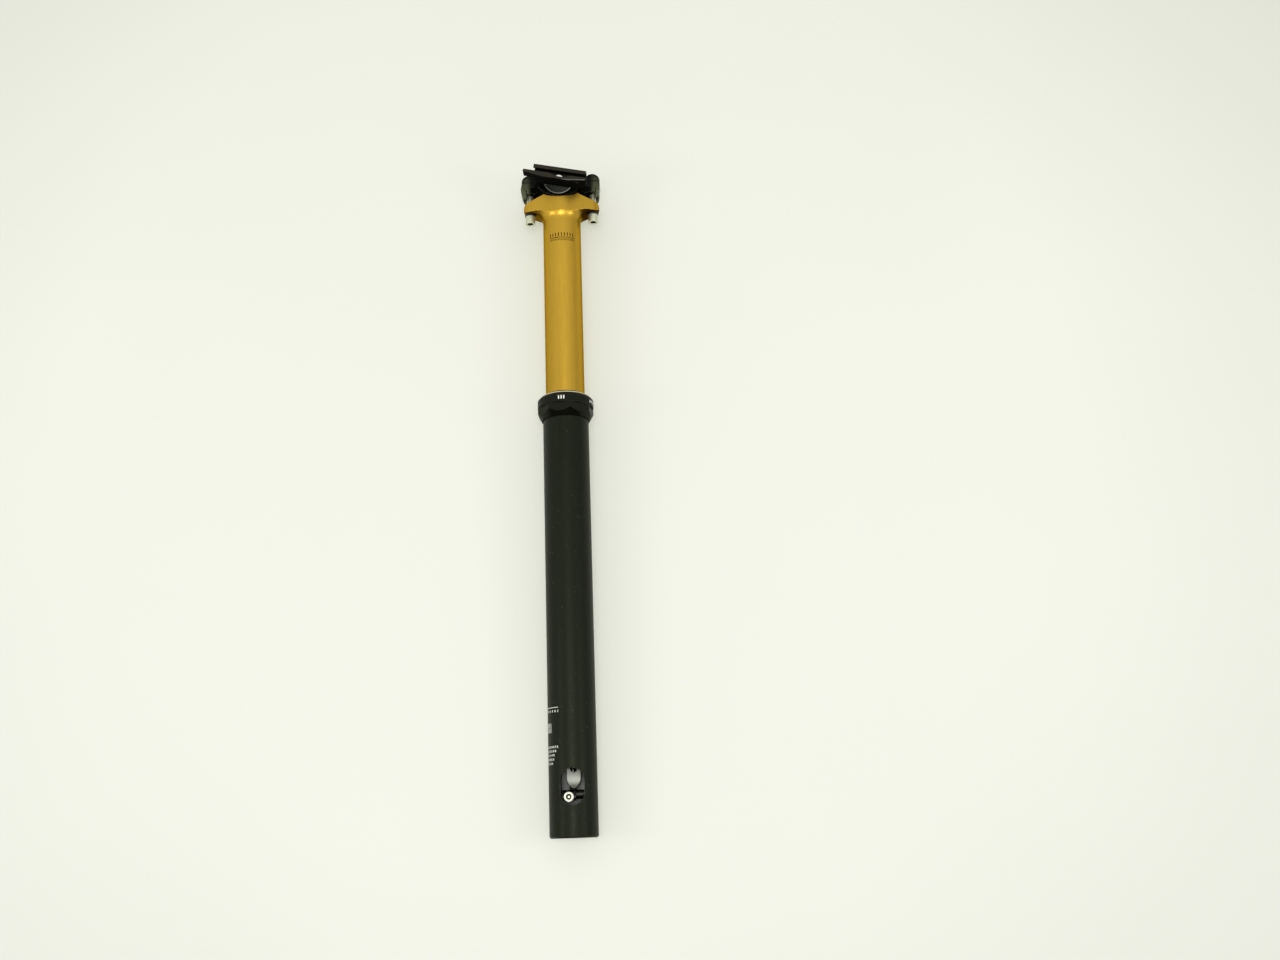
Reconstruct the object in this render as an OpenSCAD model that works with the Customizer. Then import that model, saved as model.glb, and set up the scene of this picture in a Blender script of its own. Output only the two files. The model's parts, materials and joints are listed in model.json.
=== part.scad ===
// Dropper seatpost with a two-bolt rail clamp and a cable-worked valve inside.
// Millimetres, +Z up along the post, +X towards the front of the bicycle.
// The origin is on the post's axis at the shoulder under the collar.
// The post is drawn at full height.

/* [Lower tube] */
// Outer diameter of the tube that goes into the bicycle frame
insert_d = 31.6; // [31.0:0.1:32.4]
// Length of the tube below the collar
insert_len = 279; // [270:1:300]
// Wall of the lower tube
tube_wall = 1.45; // [1.3:0.05:1.6]
// How far the saddle drops
travel = 125; // [100:5:130]

/* [Collar] */
// Largest diameter of the collar
collar_d = 38.8; // [38:0.2:41]
// Height of the collar
collar_h = 17; // [16.6:0.1:18]
// Height of the plain band above the wrench flats
collar_band = 5.3; // [5:0.1:6]
// Height of the coned top above the band
collar_cap = 2.7; // [2.4:0.1:3]

/* [Head] */
// Half span of the head, from the axis to a wing's end
wing_x = 27.4; // [27:0.2:30]
// Distance of each clamp bolt from the axis
bolt_x = 22.8; // [22.4:0.1:23.4]
// Radius of the trough that the clamp tilts in
trough_r = 21.6; // [21.2:0.1:22]
// Half width of the head across the bicycle
head_half_w = 15; // [14.6:0.1:15.4]
// Radius of the sweep from the post into the wings
sweep_r = 8.5; // [8:0.1:8.6]

/* [Clamp] */
// Diameter of a saddle rail
rail_d = 7; // [6.8:0.1:7.2]
// Distance between the centre lines of the two rails
rail_gap = 44; // [43:0.5:46]
// Slope of the rails at rest, nose down
rail_tilt = 11; // [9:0.5:12]
// Length of the cradle's rail bars
cradle_len = 45.6; // [44:0.2:47]
// Width of one rail bar across the bicycle
bar_w = 10; // [9.6:0.1:10.4]

/* [Actuator] */
// Width of the window in the lower tube
window_w = 15.6; // [15:0.1:15.8]
// Height of the window
window_h = 23.3; // [22:0.1:24]
// Outer diameter of the cable housing that plugs in from below
cable_d = 5; // [4:0.1:5]

/* [Hidden] */
$fn = 64;
eps = 0.5;

// Running fits and gaps
run_fit = 0.05;
rest_fit = 0.03;
gap = 0.3;

// Radii of the telescoping tubes, from the outside inwards
tube_r = insert_d / 2;
neck_r = tube_r - 0.3;
tube_bore_r = tube_r - tube_wall;
bush_t = 0.75;
post_r = tube_bore_r - bush_t - 2 * run_fit;
post_wall = 2;
post_bore_r = post_r - post_wall;
shaft_r = 5;
shaft_bore_r = 2;

// Heights along the post
tube_bottom = -insert_len;
tube_top = collar_h - collar_cap - collar_band;
housing_lift = 3;
housing_bottom = tube_bottom + housing_lift;
housing_rise = 60;
housing_top = tube_bottom + housing_rise;
bumper_h = 9.7;
bumper_top = housing_top + bumper_h;
post_bottom = bumper_top + travel + gap;
clip_t = 1.2;
seal_head_bottom = post_bottom + 2.6;
seal_head_h = 15;
seal_head_top = seal_head_bottom + seal_head_h;
top_bumper_h = 3;
piston_bottom = seal_head_top + top_bumper_h + gap;
piston_h = 11;
piston_top = piston_bottom + piston_h;
stop_clear = 9.1;
bolt_bottom = collar_h + travel + stop_clear;
bolt_head_h = 5.6;
bolt_head_top = bolt_bottom + bolt_head_h;
wing_bottom = bolt_head_top + 1.3;
wing_end_r = 3.5;
peak_x = 12;
peak_rise = 11.2;
peak_z = wing_bottom + peak_rise;
trough_rise = 7.6;
trough_bottom = wing_bottom + trough_rise;
tilt_z = trough_bottom + trough_r;
cavity_top = wing_bottom - 13;
float_bottom = cavity_top - 49;
float_h = 10;

// Clamp bolts, washers and barrel nuts
bolt_r = 2.5;
bolt_head_r = 3.5;
washer_r = 3.8;
washer_dome_r = 8.9;
swing_z = wing_bottom + 0.8 - washer_dome_r - run_fit;
nut_r = 4.3;
nut_len = 15;
nut_drop = 6.7;
nut_z = tilt_z - nut_drop;
boss_r = 5.5;
bolt_over = 5;
bolt_top = nut_z + bolt_over;

// Rail bars, measured in the tilted clamp frame whose origin is the tilt centre
rail_r = rail_d / 2;
rail_y = rail_gap / 2;
rail_drop = 8.4;
rail_w = -rail_drop;
cap_low_w = rail_w + 0.2;
cap_edge_w = rail_w + 3.1;
cap_top_w = rail_w + 4.6;
bar_top_w = rail_w - 1.8;
bar_low_w = rail_w - 6;
bar_end_w = rail_w - 4.2;
bar_inner_w = rail_w - 4;
block_top_w = rail_w - 2.8;
web_low_w = rail_w - 6.6;
bar_shift = 1.2;
bar_rear = -cradle_len / 2 - bar_shift;
bar_front = cradle_len / 2 - bar_shift;
cradle_r = trough_r - gap;
cap_rear = -17;
cap_front = 20.5;
disc_u = 1;
disc_r = 10.9;
disc_w = disc_r - cradle_r + 0.2;

// Collar flats
flat_count = 8;
flat_turn = 12;
flat_land = 0.25;
cone_top = 5;

// Keys between the post and the lower tube
key_count = 3;
key_w = 3;
key_h = 10;
key_z = post_bottom + 19;
key_depth = 1.15;
keyway_depth = 0.65;

// Actuator
window_z = tube_bottom + 20.2;
housing_r = tube_bore_r - 0.15;
pocket_w = 15.2;
pocket_bottom = tube_bottom + 17;
pocket_top = tube_bottom + 46;
pocket_back = 4.4;
pin_r = 1.5;
pin_y = -3.4;
pin_z = tube_bottom + 27;
pin_len = 21;
hub_r = 2.8;
barrel_x = -2.4;
barrel_y = -9.4;
barrel_z = tube_bottom + 25.4;
barrel_r = 3.1;
trunnion_r = 1.6;
screw_r = 2.5;
cable_r = 1;
finger_r = 1.2;
finger_z = pin_z + 2.2;
rod_r = 1.5;
rod_foot_z = finger_z + finger_r + 0.12;
rod_flange_z = tube_bottom + 41;
rod_flange_t = 1.4;
shaft_rise = 50;
shaft_bottom = tube_bottom + shaft_rise;
spring_wire_r = 0.35;
spring_mean_r = 2.7;
spring_turns = 5;

// A plain ring standing on z
module ring(r_out, r_in, z, h) {
  translate([0, 0, z])
    difference() {
      cylinder(r = r_out, h = h);
      translate([0, 0, -eps])
        cylinder(r = r_in, h = h + 2 * eps);
    }
}

// A cylinder whose axis runs across the bicycle
module rod_y(r, len) {
  rotate([90, 0, 0])
    cylinder(r = r, h = len, center = true);
}

// A cylinder whose axis runs along the bicycle
module rod_x(r, len) {
  rotate([0, 90, 0])
    cylinder(r = r, h = len, center = true);
}

// A side outline drawn in x and z, given a width across the bicycle
module across(w) {
  rotate([90, 0, 0])
    linear_extrude(height = w, center = true)
      children();
}

// Children drawn along the rails, with the tilt centre as their origin
module in_clamp_frame() {
  translate([0, 0, tilt_z])
    rotate([0, rail_tilt, 0])
      children();
}

// Children repeated on the left and on the right
module both_sides() {
  children();
  mirror([0, 1, 0])
    children();
}

// Children repeated at the front and at the rear
module both_ends() {
  children();
  mirror([1, 0, 0])
    children();
}

// An upright slot with round ends, in the front face that looks along -Y
module window_slot(w, h, depth) {
  translate([0, -depth / 2, 0]) {
    cube([w, depth, h - w], center = true);
    for (s = [-1, 1])
      translate([0, 0, s * (h - w) / 2])
        rod_y(w / 2, depth);
  }
}

// Tube that slides into the frame, with three keyways inside and a window near its foot
module lower_tube() {
  chamfer = 1;
  color([0.16, 0.17, 0.15])
    difference() {
      rotate_extrude()
        polygon([
          [tube_bore_r + 0.4, tube_bottom], [tube_r - chamfer, tube_bottom], [tube_r, tube_bottom + chamfer],
          [tube_r, 0], [neck_r, 0.3], [neck_r, tube_top], [tube_bore_r, tube_top], [tube_bore_r, tube_bottom + 0.4]
        ]);
      translate([0, 0, window_z + window_h / 2])
        window_slot(window_w, window_h, tube_r + 5);
      for (i = [0 : key_count - 1])
        rotate([0, 0, 90 + i * 360 / key_count])
          translate([0, -key_w / 2 - 0.1, housing_top - 2])
            cube([tube_bore_r + keyway_depth, key_w + 0.2, key_z + key_h + 4 - housing_top]);
      ring(tube_bore_r + 0.6, tube_bore_r - 1, housing_bottom - clip_t - 0.15, clip_t + 0.2);
    }
}

// Threaded collar on the tube's mouth: plain band, eight wrench flats and a coned underside
module collar() {
  r = collar_d / 2;
  rim_r = post_r + 3.5;
  color([0.15, 0.16, 0.14])
    difference() {
      rotate_extrude()
        polygon([
          [neck_r + run_fit, 0.4], [tube_r + 0.8, 0], [r, cone_top], [r, collar_h - collar_cap - 0.3],
          [r - 0.2, collar_h - collar_cap + 0.2], [rim_r + 0.3, collar_h - 0.4], [rim_r, collar_h], [post_r + 3.1, collar_h],
          [post_r + 3.1, tube_top + 1.1], [post_r + 0.5, tube_top + 1.1], [post_r + 0.5, tube_top + 0.1],
          [neck_r + run_fit, tube_top + 0.1]
        ]);
      difference() {
        ring(r + 2, tube_r, 0.1, tube_top - 0.1);
        translate([0, 0, -eps])
          rotate([0, 0, flat_turn - 90])
            cylinder(r = r + flat_land, h = tube_top + 1, $fn = flat_count);
      }
    }
}

// Rubber wiper pressed into the collar's mouth, with a lip on the post
module wiper_seal() {
  base = tube_top + 1.15;
  color([0.08, 0.08, 0.08])
    rotate_extrude()
      polygon([
        [post_r + 0.6, base], [post_r + 3.05, base], [post_r + 3.05, collar_h - 0.3],
        [post_r + 1.9, collar_h + 0.2], [post_r + 0.6, collar_h + 1.6], [post_r + run_fit, collar_h + 1.5],
        [post_r + run_fit, collar_h + 1], [post_r + 0.8, collar_h - 0.2]
      ]);
}

// Split plain bearing in the mouth of the lower tube
module upper_bushing() {
  len = 26;
  color([0.62, 0.5, 0.3])
    difference() {
      ring(post_r + run_fit + bush_t, post_r + run_fit, tube_top - len - 0.3, len);
      translate([-0.6, 0, tube_top - len - 1])
        cube([1.2, tube_r, len + 2]);
    }
}

// Turned body in the foot of the tube that carries the lever, the shaft and the cable stop
module actuator_housing() {
  color([0.25, 0.26, 0.26])
    difference() {
      translate([0, 0, housing_bottom])
        cylinder(r = housing_r, h = housing_top - housing_bottom);
      // Pocket for the lever, open to the window
      translate([-pocket_w / 2, -housing_r - 1, pocket_bottom])
        cube([pocket_w, housing_r + 1 + pocket_back, pocket_top - pocket_bottom]);
      // Spring chamber and shaft socket
      translate([0, 0, pocket_top - 1])
        cylinder(r = 3.8, h = shaft_bottom - pocket_top + 1.1);
      translate([0, 0, shaft_bottom])
        cylinder(r = shaft_r + rest_fit, h = housing_top - shaft_bottom + eps);
      // Cross hole for the lever's pin
      translate([0, pin_y, pin_z])
        rod_x(pin_r + rest_fit, pin_len + 0.2);
      // Socket for the cable housing, then the cable's own hole
      translate([barrel_x, barrel_y, housing_bottom - eps])
        cylinder(r = cable_d / 2 + run_fit, h = 10 + eps);
      translate([barrel_x, barrel_y, housing_bottom])
        cylinder(r = 1.4, h = pocket_bottom - housing_bottom + eps);
      // Keyed recess round the foot lightens the body
      ring(housing_r + 1, housing_r - 0.8, housing_bottom + 4, 7);
    }
}

// Snap ring that holds the actuator housing up in the tube
module housing_clip() {
  color([0.7, 0.7, 0.7])
    difference() {
      ring(tube_bore_r + 0.5, tube_bore_r - 1.6, housing_bottom - clip_t - 0.05, clip_t);
      translate([-3, 0, housing_bottom - 3])
        cube([6, tube_r, 4]);
    }
}

// Hinge pin of the release lever
module lever_pin() {
  color([0.75, 0.75, 0.75])
    translate([0, pin_y, pin_z])
      rod_x(pin_r, pin_len);
}

// Rocker: the cable draws its front down and its rear finger lifts the valve rod
module release_lever() {
  face_x = 0.85;
  face_w = 8.9;
  face_low = tube_bottom + 30.6;
  face_top = tube_bottom + 43.4;
  face_t = 1.6;
  lean = 14;
  cheek_t = 1.1;
  color([0.72, 0.73, 0.7])
    difference() {
      union() {
        translate([0.2, pin_y, pin_z])
          rod_x(hub_r, 14);
        // Rear finger under the valve rod
        translate([-3, pin_y, pin_z - 1.5])
          cube([6, -pin_y, finger_z - pin_z + 1.5]);
        translate([0, 0, finger_z])
          rod_x(finger_r, 6);
        // Two cheeks that hold the cable barrel
        for (x = [barrel_x - barrel_r - 0.25 - cheek_t, barrel_x + barrel_r + 0.25])
          intersection() {
            translate([x, -20, tube_bottom])
              cube([cheek_t, 40, 60]);
            translate([0, 0, tube_bottom])
              cylinder(r = tube_bore_r - 0.6, h = 60);
            union() {
              translate([0, barrel_y, barrel_z])
                rod_x(2.4, 20);
              translate([0, pin_y, pin_z])
                rod_x(hub_r, 20);
              translate([-10, barrel_y, barrel_z - 1.2])
                cube([20, pin_y - barrel_y, 4]);
            }
          }
        // Leaning thumb face, drawn to a round foot, with a rib down to the hub
        translate([face_x, barrel_y + 0.2, face_low])
          rotate([-lean, 0, 0])
            rotate([90, 0, 0])
              linear_extrude(height = face_t, center = true)
                difference() {
                  union() {
                    translate([0, 2.4])
                      circle(r = 2.4);
                    polygon([
                      [-2.25, 1.6], [2.25, 1.6], [3.5, 3.4], [4.2, 5.1], [face_w / 2, 6.8],
                      [face_w / 2, face_top - face_low], [-face_w / 2, face_top - face_low], [-face_w / 2, 6.8],
                      [-4.2, 5.1], [-3.5, 3.4]
                    ]);
                  }
                  translate([0, face_top - face_low])
                    circle(r = 2.5);
                }
        translate([face_x - 1.2, 0, 0])
          rotate([90, 0, 90])
            linear_extrude(height = 2.4)
              polygon([
                [barrel_y + 0.4, face_low + 0.6], [pin_y - 1.5, pin_z + 1], [pin_y + 1.5, pin_z + 2],
                [pin_y - 1.6, face_low + 3.4], [barrel_y + 1.9, face_low + 6.6]
              ]);
      }
      translate([0, pin_y, pin_z])
        rod_x(pin_r + rest_fit, 30);
      translate([barrel_x, barrel_y, barrel_z])
        rod_x(trunnion_r + run_fit, 16);
    }
}

// Barrel that grips the cable's end and swivels in the lever
module cable_barrel() {
  front = -12.6;
  back = -7.4;
  color([0.35, 0.36, 0.36])
    difference() {
      union() {
        translate([barrel_x, (front + back) / 2, barrel_z])
          rod_y(barrel_r, back - front);
        translate([barrel_x, barrel_y, barrel_z])
          rod_x(trunnion_r, 2 * (barrel_r + 1.3));
      }
      translate([barrel_x, barrel_y, barrel_z])
        cylinder(r = cable_r, h = 20, center = true);
      translate([barrel_x, barrel_y - 5, barrel_z])
        rod_y(screw_r + rest_fit, 10 - 2 * cable_r);
    }
}

// Grub screw that pinches the cable in its barrel
module cable_screw() {
  len = 1.9;
  color([0.2, 0.2, 0.2])
    translate([barrel_x, barrel_y - cable_r - 0.1 - len / 2, barrel_z])
      difference() {
        rod_y(screw_r, len);
        translate([0, -len / 2, 0])
          rotate([90, 0, 0])
            cylinder(r = 1.6, h = 2.6, center = true, $fn = 6);
      }
}

// Push rod inside the shaft, with the valve's head on the piston
module valve_rod() {
  color([0.8, 0.8, 0.8]) {
    translate([0, 0, rod_foot_z])
      cylinder(r = rod_r, h = piston_top - rod_foot_z + 1);
    translate([0, 0, rod_foot_z])
      cylinder(r = 2.2, h = 1.4);
    translate([0, 0, rod_flange_z])
      cylinder(r = 3.1, h = rod_flange_t);
    translate([0, 0, piston_top + 0.1])
      cylinder(r1 = 3.4, r2 = 2.6, h = 2);
  }
}

// O-ring between the push rod and the shaft's foot
module valve_rod_seal() {
  color([0.1, 0.1, 0.1])
    ring(shaft_bore_r - rest_fit, rod_r + run_fit, shaft_bottom + 4, 1.6);
}

// Return spring of the valve rod
module valve_spring() {
  steps = 8;
  sides = 6;
  n = spring_turns * steps;
  low = rod_flange_z + rod_flange_t + spring_wire_r + 0.05;
  high = shaft_bottom - spring_wire_r - 0.05;
  function spot(i, j) =
    let (turn = i * 360 / steps, around = j * 360 / sides)
    let (r = spring_mean_r + spring_wire_r * cos(around))
    [r * cos(turn), r * sin(turn), low + (high - low) * i / n + spring_wire_r * sin(around)];
  points = [for (i = [0 : n]) for (j = [0 : sides - 1]) spot(i, j)];
  skin = [
    for (i = [0 : n - 1])
      for (j = [0 : sides - 1])
        let (k = (j + 1) % sides)
        [i * sides + j, (i + 1) * sides + j, (i + 1) * sides + k, i * sides + k]
  ];
  ends = [[for (j = [0 : sides - 1]) j], [for (j = [0 : sides - 1]) n * sides + sides - 1 - j]];
  color([0.75, 0.75, 0.78])
    polyhedron(points = points, faces = concat(skin, ends));
}

// Hollow shaft that stands on the housing and carries the piston
module shaft() {
  color([0.8, 0.8, 0.82])
    difference() {
      translate([0, 0, shaft_bottom])
        cylinder(r = shaft_r, h = piston_top - 3 - shaft_bottom);
      translate([0, 0, shaft_bottom - eps])
        cylinder(r = shaft_bore_r, h = piston_top - shaft_bottom + eps);
      for (turn = [0 : 90 : 270])
        rotate([0, 0, turn])
          translate([shaft_bore_r - 0.6, 0, piston_bottom - 1.6])
            rotate([0, 90, 0])
              cylinder(r = 1, h = shaft_r);
    }
}

// Lock nut that fixes the shaft on the housing
module shaft_nut() {
  color([0.7, 0.7, 0.72])
    difference() {
      translate([0, 0, housing_top + 0.05])
        cylinder(r = 9.2, h = 5, $fn = 6);
      translate([0, 0, housing_top - 1])
        cylinder(r = shaft_r + rest_fit, h = 8);
    }
}

// Main piston on the shaft's top, with a groove for its seal
module piston() {
  color([0.72, 0.68, 0.55])
    difference() {
      translate([0, 0, piston_bottom])
        cylinder(r = post_bore_r - run_fit, h = piston_h);
      translate([0, 0, piston_bottom - eps])
        cylinder(r = shaft_r + rest_fit, h = piston_h - 3 + eps);
      translate([0, 0, piston_bottom])
        cylinder(r = shaft_bore_r, h = piston_h + 1);
      ring(post_bore_r + 1, post_bore_r - 2.2, piston_bottom + 3.5, 3.2);
    }
}

// Seal ring in the piston's groove
module piston_seal() {
  color([0.1, 0.1, 0.1])
    ring(post_bore_r - 0.02, post_bore_r - 2.15, piston_bottom + 3.6, 3);
}

// Rubber ring that the post lands on when it is all the way down
module bottom_bumper() {
  color([0.12, 0.12, 0.12])
    ring(housing_r - 0.5, 9.6, housing_top + 0.05, bumper_h - 0.05);
}

// Outline of the head seen from the side, without its trough
module head_side() {
  end_x = wing_x - wing_end_r;
  end_z = wing_bottom + wing_end_r;
  reach = norm([end_x - peak_x, end_z - peak_z]);
  drop = atan2(end_z - peak_z, end_x - peak_x) + asin(wing_end_r / reach);
  run = sqrt(reach * reach - wing_end_r * wing_end_r);
  touch = [peak_x + run * cos(drop), peak_z + run * sin(drop)];
  both_ends() {
    polygon([
      [-eps, wing_bottom - 12], [post_r + sweep_r, wing_bottom - 12], [post_r + sweep_r, wing_bottom],
      [end_x, wing_bottom], [end_x, end_z], touch, [peak_x, peak_z], [-eps, peak_z]
    ]);
    translate([end_x, end_z])
      circle(r = wing_end_r);
  }
}

// Outline of the head seen from above: a round waist with flat sides drawn in to the wing ends
module head_plan() {
  end_r = 7.6;
  end_x = wing_x - end_r;
  slope = acos((head_half_w - end_r) / end_x);
  away = [cos(slope), sin(slope)];
  waist = (head_half_w - 0.02) * away;
  tip = [end_x, 0] + (end_r - 0.02) * away;
  circle(r = head_half_w, $fn = 128);
  both_ends() {
    polygon([[0, 0], [waist.x, -waist.y], [tip.x, -tip.y], tip, waist]);
    translate([end_x, 0])
      circle(r = end_r);
  }
}

// Head forged in one with the sliding tube: swept wings, a trough and two bolt holes
module head() {
  difference() {
    intersection() {
      across(2 * head_half_w + 4)
        head_side();
      translate([0, 0, wing_bottom - 12])
        linear_extrude(height = 30)
          head_plan();
      union() {
        translate([0, 0, wing_bottom])
          cylinder(r = wing_x + 5, h = 20);
        rotate_extrude()
          difference() {
            translate([0, wing_bottom - sweep_r])
              square([post_r + sweep_r, sweep_r + 0.1]);
            translate([post_r + sweep_r, wing_bottom - sweep_r])
              circle(r = sweep_r);
          }
      }
    }
    translate([0, 0, tilt_z])
      rod_y(trough_r, 4 * head_half_w);
    both_ends()
      translate([bolt_x, 0, swing_z]) {
        rod_y(washer_dome_r + run_fit, 2 * washer_r + 0.8);
        cylinder(r = bolt_r + 0.7, h = 30);
      }
  }
}

// Sliding tube and head in one piece
module upper_post() {
  color([0.77, 0.62, 0.21])
    difference() {
      union() {
        translate([0, 0, post_bottom])
          cylinder(r = post_r, h = wing_bottom - sweep_r - post_bottom + 0.2);
        head();
      }
      translate([0, 0, post_bottom - eps])
        cylinder(r = post_bore_r, h = cavity_top - post_bottom + eps);
      // Seat of the glide ring, pockets of the keys and groove of the snap ring
      ring(post_r + 1, post_r - 0.4, post_bottom + 4, 12.2);
      for (i = [0 : key_count - 1])
        rotate([0, 0, 90 + i * 360 / key_count])
          translate([post_r - key_depth, -key_w / 2 - rest_fit, key_z - rest_fit])
            cube([key_depth + 2, key_w + 2 * rest_fit, key_h + 2 * rest_fit]);
      ring(post_bore_r + 0.8, post_bore_r - 1, post_bottom + 1, clip_t + 0.2);
    }
}

// Split glide ring near the post's foot
module glide_ring() {
  color([0.85, 0.83, 0.76])
    difference() {
      ring(tube_bore_r - run_fit, post_r - 0.4 + rest_fit, post_bottom + 4.1, 12);
      translate([-0.6, -tube_r, post_bottom + 3])
        cube([1.2, tube_r, 14]);
    }
}

// Brass keys that stop the post from turning
module guide_keys() {
  color([0.78, 0.62, 0.3])
    for (i = [0 : key_count - 1])
      rotate([0, 0, 90 + i * 360 / key_count])
        intersection() {
          translate([post_r - key_depth + rest_fit, -key_w / 2, key_z])
            cube([key_depth + 3, key_w, key_h]);
          translate([0, 0, key_z - 1])
            cylinder(r = tube_bore_r + keyway_depth - 0.12, h = key_h + 2);
        }
}

// Gland in the post's foot that the shaft runs through
module seal_head() {
  color([0.6, 0.6, 0.62])
    difference() {
      ring(post_bore_r - rest_fit, shaft_r + run_fit, seal_head_bottom, seal_head_h);
      ring(shaft_r + 2.4, shaft_r - 1, seal_head_bottom + 5, 3.4);
    }
}

// Rod seal in the gland
module shaft_seal() {
  color([0.1, 0.1, 0.1])
    ring(shaft_r + 2.35, shaft_r + 0.02, seal_head_bottom + 5.1, 3.2);
}

// Snap ring under the gland
module seal_head_clip() {
  color([0.7, 0.7, 0.7])
    difference() {
      ring(post_bore_r + 0.75, post_bore_r - 1.6, post_bottom + 1.1, clip_t);
      translate([-3, 0, post_bottom])
        cube([6, tube_r, 4]);
    }
}

// Rubber washer that softens the stop at full height
module top_out_bumper() {
  color([0.12, 0.12, 0.12])
    ring(post_bore_r - 0.6, shaft_r + 0.6, seal_head_top + 0.03, top_bumper_h - 0.03);
}

// Cup between the oil below it and the gas above it
module floating_piston() {
  color([0.7, 0.7, 0.68])
    difference() {
      translate([0, 0, float_bottom])
        cylinder(r = post_bore_r - run_fit, h = float_h);
      translate([0, 0, float_bottom + 3])
        cylinder(r = post_bore_r - 3.6, h = float_h);
      ring(post_bore_r + 1, post_bore_r - 1.9, float_bottom + 3.4, 2.6);
    }
}

// O-ring of the floating piston
module floating_piston_seal() {
  color([0.1, 0.1, 0.1])
    ring(post_bore_r - 0.02, post_bore_r - 1.85, float_bottom + 3.5, 2.4);
}

// Section of one rail bar, drawn across the bicycle
module bar_section(bar_in, bar_out) {
  polygon([
    [bar_in - 0.1, bar_top_w], [bar_out - 0.8, bar_top_w], [bar_out, bar_top_w - 1.1],
    [bar_out, bar_low_w], [bar_in - 0.1, bar_inner_w]
  ]);
}

// Children drawn across the bicycle, run along the rails
module along_rails(from, to) {
  translate([from, 0, 0])
    rotate([90, 0, 90])
      linear_extrude(height = to - from)
        children();
}

// Lower half of the saddle clamp: a round-bottomed block with a rail bar on each side
module lower_cradle() {
  bar_in = rail_y - bar_w / 2;
  bar_out = rail_y + bar_w / 2;
  dip_r = 14;
  color([0.13, 0.13, 0.12])
    in_clamp_frame()
      difference() {
        union() {
          // Block that rolls in the head's trough
          intersection() {
            rod_y(cradle_r, 2 * head_half_w - 1);
            translate([-13.4, -head_half_w, -cradle_r - 1])
              cube([28.4, 2 * head_half_w, cradle_r + 1 + block_top_w]);
          }
          // Round ends of the block
          intersection() {
            translate([disc_u, 0, disc_w])
              rod_y(disc_r, 2 * bar_in);
            translate([-15, -bar_in, -cradle_r - 1])
              cube([30, 2 * bar_in, cradle_r + 1 + block_top_w]);
          }
          both_sides() {
            // Rail bar, deepest at mid length, with cut corners
            intersection() {
              along_rails(bar_rear, bar_front)
                bar_section(bar_in, bar_out);
              translate([0, rail_y, 0])
                across(2 * bar_w)
                  polygon([
                    [bar_rear, bar_end_w + 0.6], [bar_rear + 0.8, bar_end_w], [-9, bar_low_w], [6, bar_low_w],
                    [bar_front - 0.8, bar_end_w], [bar_front, bar_end_w + 0.6], [bar_front, bar_top_w - 0.8],
                    [bar_front - 0.8, bar_top_w + eps], [bar_rear + 0.8, bar_top_w + eps], [bar_rear, bar_top_w - 0.8]
                  ]);
            }
            // Web from the block out to the bar, thinning towards the bar's ends
            intersection() {
              along_rails(bar_rear + 2, bar_front - 1)
                polygon([[bar_in - 0.1, bar_inner_w + 0.8], [bar_out - 0.4, bar_low_w + 0.2], [bar_in - 0.1, web_low_w]]);
              translate([0, rail_y, 0])
                across(2 * bar_w)
                  polygon([
                    [-17, bar_inner_w + 0.2], [-9.2, web_low_w - 0.1], [10.8, web_low_w - 0.1],
                    [bar_front - 2, bar_inner_w + 0.2], [bar_front - 2, bar_inner_w + 1], [-17, bar_inner_w + 1]
                  ]);
            }
          }
        }
        both_sides() {
          // Rail groove, with the outer lip dipped at mid length
          translate([0, rail_y, rail_w])
            rod_x(rail_r, 80);
          translate([disc_u + 1.8, bar_out, bar_top_w - 2.5 + dip_r])
            rod_y(dip_r, bar_w - 3);
          // Slope under the inner half of the bar's rear end
          along_rails(bar_rear - 1, -16)
            polygon([
              [rail_y + 0.2, bar_end_w - 0.2], [bar_in - 0.6, bar_top_w - 0.5], [bar_in - 0.6, bar_low_w - 1],
              [rail_y + 0.2, bar_low_w - 1]
            ]);
          // Half-moon relief in the end of the block
          intersection() {
            translate([disc_u, bar_in, disc_w])
              rod_y(disc_r - 0.8, 1.6);
            translate([-15, 0, -cradle_r])
              cube([30, 40, cradle_r + web_low_w - 0.3]);
          }
        }
        // Relief through the middle saves weight
        translate([0, 0, block_top_w])
          rod_y(6.2, 2 * head_half_w - 8);
      }
}

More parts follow.
